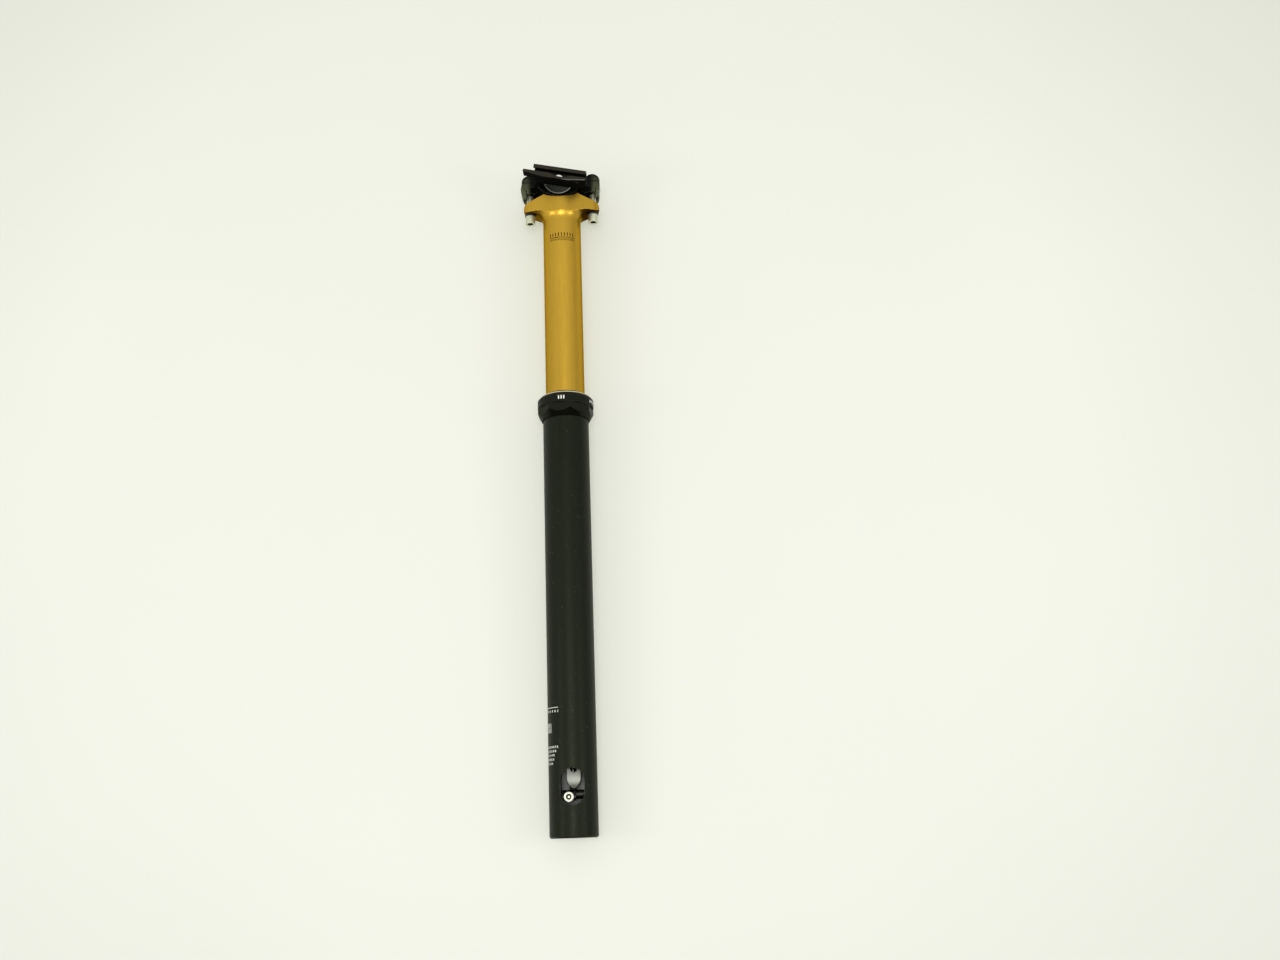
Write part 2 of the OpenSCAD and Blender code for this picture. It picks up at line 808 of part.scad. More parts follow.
// Upper half of the clamp: rail caps, two cross bars and an eye for each barrel nut
module upper_clamp() {
  cap_in = rail_y - bar_w / 2 + 1;
  cap_out = rail_y + bar_w / 2;
  cross_in = 9.5;
  cross_out = 15.5;
  slot_half = 3.6;
  slot_foot = 4.7;
  color([0.1, 0.1, 0.1])
    difference() {
      union() {
        in_clamp_frame() {
          // Caps with a crowned top
          both_sides()
            along_rails(cap_rear, cap_front)
              polygon([
                [cap_in, cap_low_w], [cap_out, cap_low_w], [cap_out, cap_edge_w - 0.4], [cap_out - 0.5, cap_edge_w],
                [rail_y + 1.5, cap_top_w], [rail_y - 2.5, cap_top_w], [cap_in, cap_edge_w]
              ]);
          // Cross bars between the caps
          for (u = [-cross_out, cross_in])
            translate([u, -cap_in - 0.2, cap_low_w - 1.2])
              cube([cross_out - cross_in, 2 * cap_in + 0.4, cap_edge_w - cap_low_w + 1]);
        }
        // Eyes for the barrel nuts, their arms and the hooked skirts outside the bolts
        both_ends()
          translate([bolt_x, 0, nut_z])
            rod_y(boss_r, nut_len);
        across(nut_len)
          polygon([
            [-bolt_x, nut_z + boss_r], [-12, nut_z + 4.6], [-10, nut_z + 3.4], [-10, nut_z - 0.4],
            [-15, nut_z - 1], [-16.9, nut_z - 2.4], [-16.9, nut_z - 8.4], [-18.6, nut_z - 9.2], [-bolt_x - 2, nut_z - 8]
          ]);
        across(nut_len)
          polygon([
            [bolt_x, nut_z + boss_r], [15, nut_z + 1.5], [10, nut_z - 1], [10, nut_z - 4.6],
            [15.2, nut_z - 5.6], [15.2, nut_z - 8.4], [18, nut_z - 9.2], [bolt_x + 2, nut_z - 8]
          ]);
        across(nut_len - 3)
          polygon([
            [bolt_x + 2, nut_z], [bolt_x + boss_r, nut_z], [bolt_x + boss_r - 0.4, nut_z - 6],
            [bolt_x + 4.4, nut_z - 10.2], [bolt_x + 3.2, nut_z - 11.7], [bolt_x + 2.2, nut_z - 11.7], [bolt_x + 2.4, nut_z - 6]
          ]);
        mirror([1, 0, 0])
          across(nut_len - 3)
            polygon([
              [bolt_x + 2, nut_z], [bolt_x + boss_r, nut_z], [bolt_x + boss_r + 0.8, nut_z - 4.5],
              [bolt_x + boss_r + 0.5, nut_z - 7.2], [bolt_x + 4.6, nut_z - 10.2], [bolt_x + 3.2, nut_z - 11.7],
              [bolt_x + 2.2, nut_z - 11.7], [bolt_x + 2.4, nut_z - 6]
            ]);
      }
      in_clamp_frame()
        both_sides() {
          translate([0, rail_y, rail_w])
            rod_x(rail_r, 80);
          // Notch under the cap's inner edge at mid length
          translate([disc_u + 0.1, (cap_in + rail_y - 2.5) / 2, cap_low_w - 1.7])
            rod_y(3.1, rail_y + 1.5 - cap_in);
          // Step in the cap's top near its rear end
          translate([cap_rear - 1, rail_y - 10, cap_top_w - 0.5])
            cube([10, 20, 3]);
        }
      // Bores of the eyes, and slots that leave the bolts room to lean
      both_ends()
        translate([bolt_x, 0, nut_z]) {
          rod_y(nut_r + run_fit, nut_len + 2);
          across(2 * bolt_r + 1.8)
            polygon([
              [-slot_half, 20], [slot_half, 20], [slot_half, 0], [slot_foot, -14], [-slot_foot, -14], [-slot_half, 0]
            ]);
        }
    }
}

// Socket-head bolt that stands under a wing
module clamp_bolt(x) {
  color([0.78, 0.78, 0.78])
    translate([x, 0, 0])
      difference() {
        union() {
          translate([0, 0, bolt_bottom])
            cylinder(r = bolt_head_r, h = bolt_head_h);
          translate([0, 0, bolt_bottom])
            cylinder(r = bolt_r, h = bolt_top - bolt_bottom);
        }
        translate([0, 0, bolt_bottom - 1])
          cylinder(r = 4 / sqrt(3), h = 4, $fn = 6);
      }
}

module front_bolt() {
  clamp_bolt(bolt_x);
}

module rear_bolt() {
  clamp_bolt(-bolt_x);
}

// Domed washer that lets a bolt lean under its wing
module clamp_washer(x) {
  color([0.1, 0.1, 0.1])
    translate([x, 0, 0])
      difference() {
        intersection() {
          translate([0, 0, swing_z])
            rod_y(washer_dome_r, 2 * washer_r + 1);
          translate([0, 0, bolt_head_top + 0.03])
            cylinder(r = washer_r, h = 10);
        }
        cylinder(r = bolt_r + 0.1, h = bolt_top + 20);
      }
}

module front_washer() {
  clamp_washer(bolt_x);
}

module rear_washer() {
  clamp_washer(-bolt_x);
}

// Barrel nut that turns in its eye as the clamp tilts
module barrel_nut(x) {
  color([0.6, 0.6, 0.6])
    translate([x, 0, nut_z])
      difference() {
        rod_y(nut_r, nut_len - 0.4);
        cylinder(r = bolt_r + 0.3, h = 30, center = true);
        // Screwdriver slot in each end
        both_sides()
          translate([0, nut_len / 2, 0])
            cube([4 * nut_r, 2, 1], center = true);
      }
}

module front_nut() {
  barrel_nut(bolt_x);
}

module rear_nut() {
  barrel_nut(-bolt_x);
}

lower_tube();
collar();
wiper_seal();
upper_bushing();
actuator_housing();
housing_clip();
lever_pin();
release_lever();
cable_barrel();
cable_screw();
valve_rod();
valve_rod_seal();
valve_spring();
shaft();
shaft_nut();
piston();
piston_seal();
bottom_bumper();
upper_post();
glide_ring();
guide_keys();
seal_head();
shaft_seal();
seal_head_clip();
top_out_bumper();
floating_piston();
floating_piston_seal();
lower_cradle();
upper_clamp();
front_bolt();
rear_bolt();
front_washer();
rear_washer();
front_nut();
rear_nut();
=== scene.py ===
# %% [markdown]
# # A dropper seatpost, dressed for its portrait
# The imported part already has the right size and place, so this lesson only gives it a skin: finishes made of
# shader nodes, a copy of the return spring, a pale sheet to lie on, soft lamps and a camera.
# Everything is in metres, in the frame of the part: +Z runs up the post, +X is the front of the bicycle,
# and the window in the lower tube looks along -Y.

# %% Load the imported part
import json
import math

import bpy
from mathutils import Matrix, Vector


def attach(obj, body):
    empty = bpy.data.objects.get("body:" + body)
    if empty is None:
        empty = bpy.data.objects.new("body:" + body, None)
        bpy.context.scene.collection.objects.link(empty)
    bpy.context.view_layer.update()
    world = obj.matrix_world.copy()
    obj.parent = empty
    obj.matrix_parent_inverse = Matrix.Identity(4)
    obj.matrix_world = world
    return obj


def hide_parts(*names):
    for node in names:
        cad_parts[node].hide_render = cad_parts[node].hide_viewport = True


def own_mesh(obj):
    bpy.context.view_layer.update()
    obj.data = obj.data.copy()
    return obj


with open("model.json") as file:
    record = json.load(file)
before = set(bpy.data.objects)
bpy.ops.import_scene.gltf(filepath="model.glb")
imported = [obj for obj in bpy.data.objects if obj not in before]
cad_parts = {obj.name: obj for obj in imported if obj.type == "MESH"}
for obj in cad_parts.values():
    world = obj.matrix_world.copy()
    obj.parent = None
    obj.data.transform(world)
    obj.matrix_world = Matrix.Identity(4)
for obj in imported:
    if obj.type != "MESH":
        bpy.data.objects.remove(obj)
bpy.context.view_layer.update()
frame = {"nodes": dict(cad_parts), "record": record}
nodes = frame["nodes"]
MM = 0.001

# %% [markdown]
# ## A small kit for building materials
# A material is a graph of nodes. It could be wired by hand in the shader editor, but a script can be read, changed
# and run again. A few short helpers keep it readable: one sets or links a socket, one adds a node with its settings,
# and the others add the nodes that are used most.

# %% Node helpers


def put(tree, value, socket):
    """Link a socket, or set a plain value; a colour is given as three numbers."""
    if isinstance(value, bpy.types.NodeSocket):
        tree.links.new(value, socket)
    elif socket.type == "RGBA":
        socket.default_value = (*value, 1.0)
    else:
        socket.default_value = value


def add(tree, kind, settings=None, **values):
    """Add a node, set its properties, then set or link its inputs by name."""
    made = tree.nodes.new(kind)
    for key, value in (settings or {}).items():
        setattr(made, key, value)
    for key, value in values.items():
        put(tree, value, made.inputs[key])
    return made


def maths(tree, operation, a, b=0.0):
    """One arithmetic node; some operations need only the first input."""
    made = add(tree, "ShaderNodeMath", {"operation": operation})
    put(tree, a, made.inputs[0])
    put(tree, b, made.inputs[1])
    return made.outputs[0]


def times(tree, *values):
    """The product of two or more values."""
    product = values[0]
    for value in values[1:]:
        product = maths(tree, "MULTIPLY", product, value)
    return product


def blend(tree, amount, a, b):
    """Mix two colours."""
    return add(tree, "ShaderNodeMix", {"data_type": "RGBA"}, Factor=amount, A=a, B=b).outputs["Result"]


def spread(tree, value, low, high, to_low=0.0, to_high=1.0):
    """Stretch a value from one range to another, clamped."""
    made = add(tree, "ShaderNodeMapRange", {"clamp": True}, Value=value)
    for key, number in (("From Min", low), ("From Max", high), ("To Min", to_low), ("To Max", to_high)):
        put(tree, number, made.inputs[key])
    return made.outputs["Result"]


def here(tree):
    """The place of a point in the part's own frame."""
    return add(tree, "ShaderNodeTexCoord").outputs["Object"]


print("node helpers ready")

# %% [markdown]
# A finish, such as the gold coat or bare steel, is one node material with one Principled shader. Marks could be painted
# on a second mesh just above the skin, but it is simpler to lay them over the colour that the finish already has,
# one after the other, as dirt and wear come on the real part. Painted light and shade are laid over in the same way.

# %% Finish helpers


def new_finish(name):
    """An empty node material."""
    finish = bpy.data.materials.new(name)
    finish.use_nodes = True
    return finish


def shader_of(finish):
    """The Principled shader of a finish."""
    return finish.node_tree.nodes["Principled BSDF"]


def lay_over(finish, mask, colour, amount=1.0):
    """Lay a colour over a finish where the mask is set."""
    tree, base = finish.node_tree, shader_of(finish).inputs["Base Color"]
    share = mask if amount == 1.0 else times(tree, mask, amount)
    put(tree, blend(tree, share, base.links[0].from_socket, colour), base)


def roughen(finish, mask, amount):
    """Raise the roughness of a finish where the mask is set."""
    tree, rough = finish.node_tree, shader_of(finish).inputs["Roughness"]
    put(tree, maths(tree, "ADD", rough.links[0].from_socket, times(tree, mask, amount)), rough)


def dress(piece, finish):
    """Give a piece one finish."""
    piece.data.materials.clear()
    piece.data.materials.append(finish)


print("finish helpers ready")

# %% [markdown]
# ## Shared surface effects
# The same few things happen to most metal surfaces: a fine grain, lines rubbed or turned in one direction,
# edges rubbed bare and a little dust. Each one is a node group, so that it is drawn once and tuned per finish.
# The grain is soft noise, and the lines are the same noise stretched along one axis.

# %% Group: grain and lines
BROAD_SCALE = 0.09
FINE_RANGE, BROAD_RANGE = (0.3, 0.7), (0.32, 0.68)


def new_group(name, ins, outs):
    """An empty shader group. An input with three numbers is a vector, and so is an output called Normal."""
    tree = bpy.data.node_groups.new(name, "ShaderNodeTree")
    for label, default in ins.items():
        kind = "NodeSocketVector" if isinstance(default, tuple) else "NodeSocketFloat"
        tree.interface.new_socket(label, in_out="INPUT", socket_type=kind).default_value = default
    for label in outs:
        kind = "NodeSocketVector" if label == "Normal" else "NodeSocketFloat"
        tree.interface.new_socket(label, in_out="OUTPUT", socket_type=kind)
    return tree, tree.nodes.new("NodeGroupInput").outputs, tree.nodes.new("NodeGroupOutput").inputs


def grain_group():
    """Two sizes of noise, stretched per axis by a vector."""
    tree, given, result = new_group("metal_grain", {"Stretch": (1.0, 1.0, 1.0), "Scale": 1000.0}, ["Fine", "Broad"])
    shaped = add(tree, "ShaderNodeVectorMath", {"operation": "MULTIPLY"})
    put(tree, here(tree), shaped.inputs[0])
    put(tree, given["Stretch"], shaped.inputs[1])
    place, wide = shaped.outputs[0], times(tree, given["Scale"], BROAD_SCALE)
    fine = add(tree, "ShaderNodeTexNoise", Vector=place, Scale=given["Scale"], Detail=5.0, Roughness=0.6)
    broad = add(tree, "ShaderNodeTexNoise", Vector=place, Scale=wide, Detail=3.0, Roughness=0.5)
    put(tree, spread(tree, fine.outputs["Fac"], *FINE_RANGE), result["Fine"])
    put(tree, spread(tree, broad.outputs["Fac"], *BROAD_RANGE), result["Broad"])
    return tree


GRAIN = grain_group()
print("group:", GRAIN.name)

# %% [markdown]
# ## Broken edges
# No machined edge is perfectly sharp: each one shows a thin line of light. A bevel modifier would do it, but on
# long curved edges it tears the thin triangles of the solids. A bevel node bends only the normals near an edge,
# so the shape stays exact and the light still rolls over it.

# %% Group: rounded edges


def round_group():
    """Normals of a surface whose edges are rounded."""
    tree, given, result = new_group("rounded_edges", {"Radius": 0.3 * MM}, ["Normal"])
    bent = add(tree, "ShaderNodeBevel", {"samples": 8}, Radius=given["Radius"])
    put(tree, bent.outputs["Normal"], result["Normal"])
    return tree


ROUND = round_group()
print("group:", ROUND.name)

# %% [markdown]
# ## Rubbed edges
# Wear shows where two faces meet. To find those places, short rays look into the solid from its skin: near an
# outer edge they soon meet the other face. A noise breaks the line up. Vertex paint could do this too,
# but it needs a dense mesh.

# %% Group: rubbed edges
EDGE_RANGE, PATCH_RANGE = (0.9, 0.55), (0.35, 0.65)


def wear_group():
    """Mask of rubbed edges, 0 to 1."""
    tree, given, result = new_group("rubbed_edges", {"Radius": 0.5 * MM, "Breakup": 400.0}, ["Mask"])
    inward = add(tree, "ShaderNodeAmbientOcclusion", {"samples": 8, "inside": True, "only_local": True},
                 Distance=given["Radius"])
    edge = spread(tree, inward.outputs["AO"], *EDGE_RANGE)
    patchy = add(tree, "ShaderNodeTexNoise", Vector=here(tree), Scale=given["Breakup"], Detail=4.0)
    put(tree, times(tree, edge, spread(tree, patchy.outputs["Fac"], *PATCH_RANGE)), result["Mask"])
    return tree


WEAR = wear_group()
print("group:", WEAR.name)

# %% [markdown]
# ## Dust
# A used post has a few pale specks on its dark parts. They could be scattered as tiny meshes, but thousands of them
# would make the model heavy. The cells of a Voronoi pattern give one dot each, and a noise leaves most of them out.

# %% Group: dust
DOT_RANGE, CLOUD_RANGE, CLOUD_SCALE = (0.16, 0.05), (0.52, 0.7), 0.3


def dust_group():
    """Sparse specks, 0 to 1."""
    tree, given, result = new_group("dust_specks", {"Scale": 300.0}, ["Mask"])
    place, wide = here(tree), times(tree, given["Scale"], CLOUD_SCALE)
    cells = add(tree, "ShaderNodeTexVoronoi", {"feature": "F1"}, Vector=place, Scale=given["Scale"], Randomness=1.0)
    cloud = add(tree, "ShaderNodeTexNoise", Vector=place, Scale=wide, Detail=2.0)
    dot = spread(tree, cells.outputs["Distance"], *DOT_RANGE)
    put(tree, times(tree, dot, spread(tree, cloud.outputs["Fac"], *CLOUD_RANGE)), result["Mask"])
    return tree


DUST = dust_group()
print("group:", DUST.name)

# %% [markdown]
# ## One recipe for all finishes
# A finish is a pair of close colours that the grain mixes, a worn colour for the edges, a range of roughness
# and a little bump. Each finish could be wired on its own, but then every change would have to be made fifteen times.
# So one recipe builds them all, and a special finish lays its own marks over the result.

# %% The recipe
EDGE_BREAKUP, DUST_SCALE, DUST_COLOUR, RELIEF_MM = 500.0, 420.0, (0.42, 0.42, 0.36), 0.05
FINISH = {}


def use(tree, group, **values):
    """Place a group and set or link its inputs."""
    return add(tree, "ShaderNodeGroup", {"node_tree": group}, **values).outputs


def metal_finish(name, dark, light, worn, metallic, rough, scale=900.0, stretch=(1, 1, 1), wear=0.5, wear_mm=0.5,
                 bump=0.05, dust=0.0, specular=0.5, edge_mm=0.4):
    """Grain, rubbed edges, dust, roughness and bump on one Principled shader."""
    finish = new_finish(name)
    tree, shader = finish.node_tree, shader_of(finish)
    grain = use(tree, GRAIN, Stretch=stretch, Scale=scale)
    half_each = maths(tree, "ADD", times(tree, grain["Fine"], 0.5), times(tree, grain["Broad"], 0.5))
    put(tree, blend(tree, half_each, dark, light), shader.inputs["Base Color"])
    lay_over(finish, use(tree, WEAR, Radius=wear_mm * MM, Breakup=EDGE_BREAKUP)["Mask"], worn, wear)
    if dust:
        lay_over(finish, use(tree, DUST, Scale=DUST_SCALE)["Mask"], DUST_COLOUR, dust)
    put(tree, metallic, shader.inputs["Metallic"])
    put(tree, specular, shader.inputs["Specular IOR Level"])
    put(tree, spread(tree, grain["Fine"], 0.0, 1.0, *rough), shader.inputs["Roughness"])
    soft = use(tree, ROUND, Radius=edge_mm * MM)["Normal"]
    relief = add(tree, "ShaderNodeBump", Strength=bump, Distance=RELIEF_MM * MM, Height=grain["Fine"], Normal=soft)
    put(tree, relief.outputs["Normal"], shader.inputs["Normal"])
    FINISH[name] = finish
    return finish


print("recipe ready")

# %% [markdown]
# ## Asking where a point lies
# Many marks depend on their place: painted shade under a ledge and on a thread, print in a band. Vertex paint could
# hold such masks, but the solids have too few points for it. So these helpers ask for the coordinates of a point
# and for the way its face looks. The coordinates belong to the object, so the marks move with the piece.

# %% Place helpers


def axes(tree):
    """The three coordinates of a point."""
    return add(tree, "ShaderNodeSeparateXYZ", Vector=here(tree)).outputs


def facing_up(tree):
    """How much a face looks up the post, from -1 to 1."""
    normal = add(tree, "ShaderNodeNewGeometry").outputs["Normal"]
    return add(tree, "ShaderNodeSeparateXYZ", Vector=normal).outputs["Z"]


def size_of(tree, value):
    """A value without its sign."""
    return maths(tree, "ABSOLUTE", value)


def ramp(tree, value, from_mm, to_mm, low=0.0, high=1.0):
    """A mask that goes from low to high between two places in millimetres."""
    return spread(tree, value, from_mm * MM, to_mm * MM, low, high)


def band(tree, value, rise_mm, fall_mm):
    """A mask that comes in over one stretch of millimetres and goes out over another."""
    return times(tree, ramp(tree, value, *rise_mm), ramp(tree, value, *fall_mm))


def radius_from(tree, a, a_mm, b, b_mm):
    """Distance from an axis, given two coordinates and the axis's place in millimetres."""
    da = maths(tree, "SUBTRACT", a, a_mm * MM)
    db = maths(tree, "SUBTRACT", b, b_mm * MM)
    return maths(tree, "SQRT", maths(tree, "ADD", times(tree, da, da), times(tree, db, db)))


print("place helpers ready")

# %% [markdown]
# ## Printed ticks
# Such a post carries fine printed scales and marks. A picture could be wrapped round the tube, but here they are plain
# ticks, worked out from the angle round the post and the height: no picture is needed, and the edges stay sharp at
# any size. A noise wears the ink.

# %% Group: ticks round a tube
INK_GRAIN, INK_RANGE, INK_LEFT = 900.0, (0.3, 0.5), 0.4


def between(tree, value, low, high):
    """1 where a value lies between two others, else 0."""
    return times(tree, maths(tree, "GREATER_THAN", value, low), maths(tree, "LESS_THAN", value, high))


def tick_group():
    """Mask of short ticks on a tube: a band of heights, a range of angles and a spacing."""
    tree, given, result = new_group("printed_ticks", {
        "Low": 0.0, "High": 0.01, "Left": -0.5, "Right": 0.5, "Step": 0.1, "Share": 0.4}, ["Mask"])
    place = axes(tree)
    angle = maths(tree, "ARCTAN2", place["X"], times(tree, place["Y"], -1.0))
    count = maths(tree, "DIVIDE", maths(tree, "SUBTRACT", angle, given["Left"]), given["Step"])
    tick = maths(tree, "LESS_THAN", maths(tree, "FRACT", count), given["Share"])
    inside = between(tree, place["Z"], given["Low"], given["High"])
    facing = between(tree, angle, given["Left"], given["Right"])
    put(tree, times(tree, inside, facing, tick), result["Mask"])
    return tree


TICKS = tick_group()


def print_ticks(finish, rows, ink, strength=1.0):
    """Print rows: low and high in millimetres; left, right and step in degrees; the inked share of a step."""
    tree = finish.node_tree
    for low, high, left, right, step, share in rows:
        mask = use(tree, TICKS, Low=low * MM, High=high * MM, Left=math.radians(left), Right=math.radians(right),
                   Step=math.radians(step), Share=share)["Mask"]
        grain = add(tree, "ShaderNodeTexNoise", Vector=here(tree), Scale=INK_GRAIN).outputs["Fac"]
        lay_over(finish, times(tree, mask, spread(tree, grain, *INK_RANGE, INK_LEFT * strength, strength)), ink)


print("group:", TICKS.name)

# %% [markdown]
# ## Gold sliding tube and head
# The sliding tube and its forged head have a hard golden coat, polished before coating. It has a warm satin shine with
# very fine lines along the stroke, where the seal wipes it. Under the wings, faces that look down are darkened with a
# painted shade, stronger towards the front, and the low end of the tube is a little duller. Several shaders could be
# mixed for this, but one shader with masks for height and direction is enough.

# %% Gold coat
GOLD_SHEEN, DULL_GOLD = (0.42, 0.37, 0.29), (0.30, 0.178, 0.022)
WING_SHADE, DARK_INK = (0.05, 0.026, 0.006), (0.045, 0.028, 0.007)
LOW_TUBE, WIPED_TUBE, DULL_SHARE, WIPED_ROUGHER = (110, 25), (146, 130), 0.2, 0.03
WING_FACING, WING_HEIGHTS, WING_ROOTS = (-0.15, -0.6), (143, 150), (11.5, 15.0)
SHADE_SPAN, SHADE_SHARES = (-15, 15), (0.6, 0.95)
SCALE_LEFT, SCALE_RIGHT = -37, 44
gold = metal_finish(
    "gold", dark=(0.522, 0.308, 0.0373), light=(0.597, 0.360, 0.048), worn=(0.66, 0.45, 0.107), metallic=1.0,
    rough=(0.32, 0.41), scale=700.0, stretch=(1, 1, 0.12), wear=0.3, wear_mm=0.7, bump=0.03, edge_mm=0.6)
tree = gold.node_tree
put(tree, GOLD_SHEEN, shader_of(gold).inputs["Specular Tint"])
place = axes(tree)
lay_over(gold, ramp(tree, place["Z"], *LOW_TUBE, 0.0, DULL_SHARE), DULL_GOLD)
# Painted shade under the wings, on faces that look down, stronger towards the front
wing_shade = times(tree, spread(tree, facing_up(tree), *WING_FACING), ramp(tree, place["Z"], *WING_HEIGHTS),
             ramp(tree, size_of(tree, place["X"]), *WING_ROOTS), ramp(tree, place["X"], *SHADE_SPAN, *SHADE_SHARES))
lay_over(gold, wing_shade, WING_SHADE)
roughen(gold, ramp(tree, place["Z"], *WIPED_TUBE), WIPED_ROUGHER)
print_ticks(gold, [(131.5, 133.0, SCALE_LEFT, SCALE_RIGHT, 4.5, 0.45),
                   (133.6, 134.2, SCALE_LEFT, SCALE_RIGHT, 90, 0.91),
                   (134.8, 137.6, SCALE_LEFT, SCALE_RIGHT, 9, 0.35)], DARK_INK)
print("finish:", gold.name)

# %% [markdown]
# ## Black lower tube
# Anodising leaves the turned grain of the alloy visible under the black. The lower tube is satin, with rub marks along
# it from the frame. Scratches could be cut into the mesh, but they are finer than its triangles, so the grain is
# stretched along the tube. Rows of pale ticks stand on its left side, above the window.

# %% Black tube
BLACK_SHEEN, TUBE_INK, INK_STRENGTH = (0.92, 1.0, 0.74), (0.62, 0.63, 0.57), 0.9
MARKS_LEFT, ROW_LOW, ROW_HIGH, ROW_STEP = -78, -222.9, -221.5, 2.6
tube = metal_finish(
    "black_tube", dark=(0.0040, 0.0050, 0.0028), light=(0.0070, 0.0085, 0.0050), worn=(0.05, 0.052, 0.042),
    metallic=0.0, rough=(0.36, 0.5), scale=800.0, stretch=(1, 1, 0.25), bump=0.08, dust=0.25, specular=0.125,
    edge_mm=0.3)
put(tube.node_tree, BLACK_SHEEN, shader_of(tube).inputs["Specular Tint"])
tube_rows = [(-197.4, -196.9, MARKS_LEFT, -31, 90, 0.8), (-200.2, -198.8, MARKS_LEFT, -31, 9, 0.4),
             (-213.2, -207.0, MARKS_LEFT, -55, 7, 0.5)]
tube_rows += [(ROW_LOW - ROW_STEP * row, ROW_HIGH - ROW_STEP * row, MARKS_LEFT, -33 - 4.5 * row, 6 + row % 2, 0.55)
              for row in range(5)]
print_ticks(tube, tube_rows, TUBE_INK, INK_STRENGTH)
print("finish:", tube.name, "rows of ticks:", len(tube_rows))

# %% [markdown]
# ## Collar
# The collar screws onto the tube and holds the wiper. Its black has a grain without a direction. The cone at its
# foot is darkened in front and behind by a painted shade, and its top rim carries a pale painted highlight. The rim
# could be a piece of its own, but it is the same metal, so a mask by height is enough.

# %% Black collar
CONE_SHADE, GREASE_AND_SHADE_SHARE, CONE_FACING, CONE_WIDTH = (0.0004, 0.0004, 0.0003), 0.95, (-0.15, -0.4), (13.0, 9.0)
RIM_HIGHLIGHT, RIM_HEIGHT, COLLAR_INK = (0.55, 0.48, 0.30), (15.9, 16.1), (0.75, 0.76, 0.70)
collar = metal_finish(
    "black_collar", dark=(0.0080, 0.0088, 0.0060), light=(0.0112, 0.0122, 0.0086), worn=(0.06, 0.056, 0.040),
    metallic=0.0, rough=(0.28, 0.4), wear=0.6, bump=0.06, dust=0.1, specular=0.045, edge_mm=0.5)
tree = collar.node_tree
put(tree, BLACK_SHEEN, shader_of(collar).inputs["Specular Tint"])
place = axes(tree)
# Painted shade on the cone under the flats, in front and behind
cone = times(tree, spread(tree, facing_up(tree), *CONE_FACING), ramp(tree, size_of(tree, place["X"]), *CONE_WIDTH))
lay_over(collar, cone, CONE_SHADE, GREASE_AND_SHADE_SHARE)
# Pale painted highlight on the top rim
lay_over(collar, ramp(tree, place["Z"], *RIM_HEIGHT), RIM_HIGHLIGHT)
print_ticks(collar, [(10.6, 13.2, -12.5, 2.6, 5.3, 0.5), (10.6, 12.6, 62, 80, 7, 0.5)], COLLAR_INK, INK_STRENGTH)
print("finish:", collar.name)

# %% [markdown]
# ## Saddle clamp
# The cradle and the upper clamp hold the saddle's rails, and they are tilted against the post. So their marks are
# measured along the rails, up from the height of the tilt and out to the sides. An empty object turned by the same
# angle could give these coordinates, but a little trigonometry keeps them inside the material. Faces that look down
# are rougher.

# %% Black clamp
RAIL_TILT, TILT_Z = math.radians(11), 187.2
SHELTERED, SHELTER_ROUGHER = (-0.3, -0.7), 0.5
clamp = metal_finish(
    "black_clamp", dark=(0.0010, 0.0010, 0.0009), light=(0.0020, 0.0021, 0.0017), worn=(0.10, 0.105, 0.09),
    metallic=0.0, rough=(0.16, 0.26), scale=700.0, wear=0.4, dust=0.03, specular=0.03, edge_mm=0.8)
tree = clamp.node_tree
facing = facing_up(tree)
roughen(clamp, spread(tree, facing, *SHELTERED), SHELTER_ROUGHER)
place = axes(tree)
rise = maths(tree, "SUBTRACT", place["Z"], TILT_Z * MM)
along = maths(tree, "SUBTRACT", times(tree, place["X"], math.cos(RAIL_TILT)), times(tree, rise, math.sin(RAIL_TILT)))
up = maths(tree, "ADD", times(tree, place["X"], math.sin(RAIL_TILT)), times(tree, rise, math.cos(RAIL_TILT)))
out = size_of(tree, place["Y"])
print("finish:", clamp.name, "tilt:", round(math.degrees(RAIL_TILT), 1), "degrees")

# %% [markdown]
# The rail bars reach out to both sides under the rails. Their black carries a dull brown painted reflection, and
# under a slanted lip at the front a painted shade keeps them dark. They could be split off as a piece of their own,
# but on the bench they are one casting with the clamp. So a line in the tilted coordinates stands for the lip, and the
# height over that line says on which side of it a point is.

# %% Rail bars
BAR_PAINTED_REFLECTION, BAR_SHADE, BARS_OUT, BARS_FACING = (0.0250, 0.0225, 0.0165), 0.3, (16.7, 17.3), (-0.6, -0.2)
LIP_ALONG, LIP_UP, LIP_SLOPE, LIP_START, LIP_SOFT = 6, -14.4, 0.1216, (3, 0), (-0.9, -0.3)
lip_line = maths(tree, "ADD", times(tree, maths(tree, "SUBTRACT", along, LIP_ALONG * MM), LIP_SLOPE), LIP_UP * MM)
over_lip = maths(tree, "SUBTRACT", up, lip_line)
bright = maths(tree, "MAXIMUM", ramp(tree, along, *LIP_START), ramp(tree, over_lip, *LIP_SOFT))
bars = times(tree, ramp(tree, out, *BARS_OUT), spread(tree, facing, *BARS_FACING))
# Dull brown painted reflection on the bars, kept darker under the lip by a painted shade
lay_over(clamp, times(tree, bars, spread(tree, bright, 0.0, 1.0, BAR_SHADE, 1.0)), BAR_PAINTED_REFLECTION)
print("rail bars: slope of the lip", LIP_SLOPE)

# %% [markdown]
# The arms at the front and rear of the clamp stand out, with a nut in each. Their outside is painted lighter, as lit,
# most of all low down. Two finishes for one piece could do it, but then the change would end at a hard line. The clamp
# and the nuts need the same mask, so it is a group.

# %% Group: lit outside, painted light
ARM_LIGHT_TONES = ((0.024, 0.026, 0.016), (0.080, 0.088, 0.050))
ARM_HEIGHTS, ARM_FROM, ARM_TO, ARM_SIDES = (184, 174), 21.6, 24.6, (16.4, 15.8)


